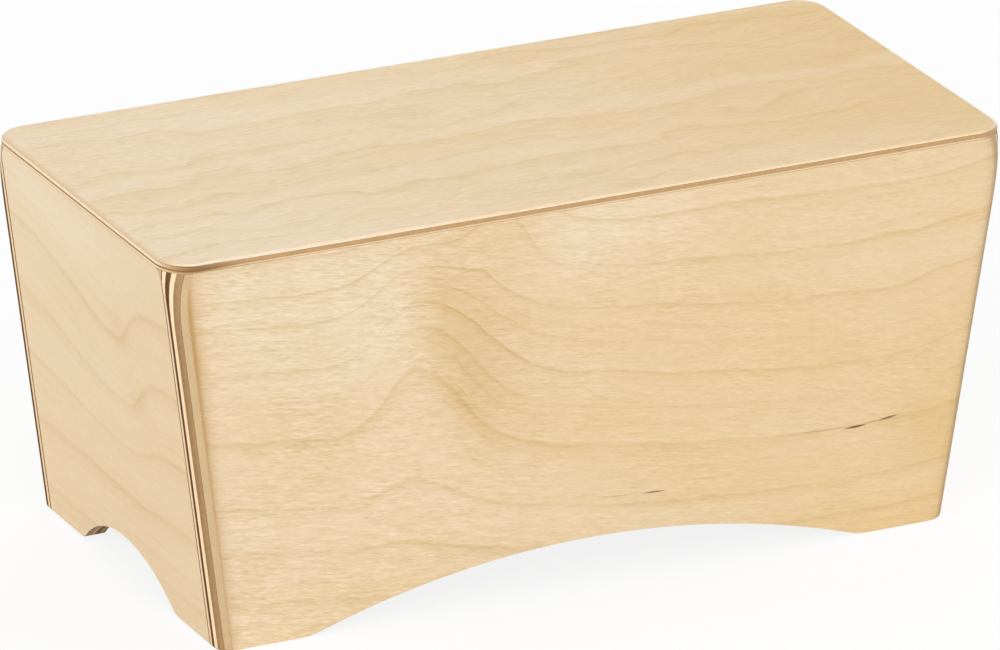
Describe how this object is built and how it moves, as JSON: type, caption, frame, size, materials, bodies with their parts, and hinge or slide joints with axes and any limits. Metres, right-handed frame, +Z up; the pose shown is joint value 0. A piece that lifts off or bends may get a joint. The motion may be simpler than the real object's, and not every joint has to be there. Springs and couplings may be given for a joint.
{
  "type": "bongo cajon",
  "caption": "Small plywood box drum, open below, with a thin playing plate, leaning ends, arched sides and an inner divider between a low and a high chamber.",
  "frame": {"origin": "on the floor under the middle of the box", "axes": "+X along the box's length, +Y from the front panel to the rear panel, +Z up to the playing plate"},
  "size_m": [0.4, 0.178, 0.1785],
  "materials": {
    "plate_birch": "thin birch plywood, clear satin lacquer",
    "panel_birch": "birch plywood with rounded, sanded ply edges, clear satin lacquer",
    "divider_ply": "raw birch plywood, sanded",
    "batten_pine": "raw softwood strip, planed"
  },
  "bodies": {
    "root": {"playing_plate": "plate_birch", "front_panel": "panel_birch", "rear_panel": "panel_birch", "left_end_panel": "panel_birch", "right_end_panel": "panel_birch", "divider": "divider_ply", "divider_cleat_front_left": "batten_pine", "divider_cleat_front_right": "batten_pine", "divider_cleat_rear_left": "batten_pine", "divider_cleat_rear_right": "batten_pine", "corner_block_front_left": "batten_pine", "corner_block_front_right": "batten_pine", "corner_block_rear_left": "batten_pine", "corner_block_rear_right": "batten_pine"}
  },
  "joints": []
}
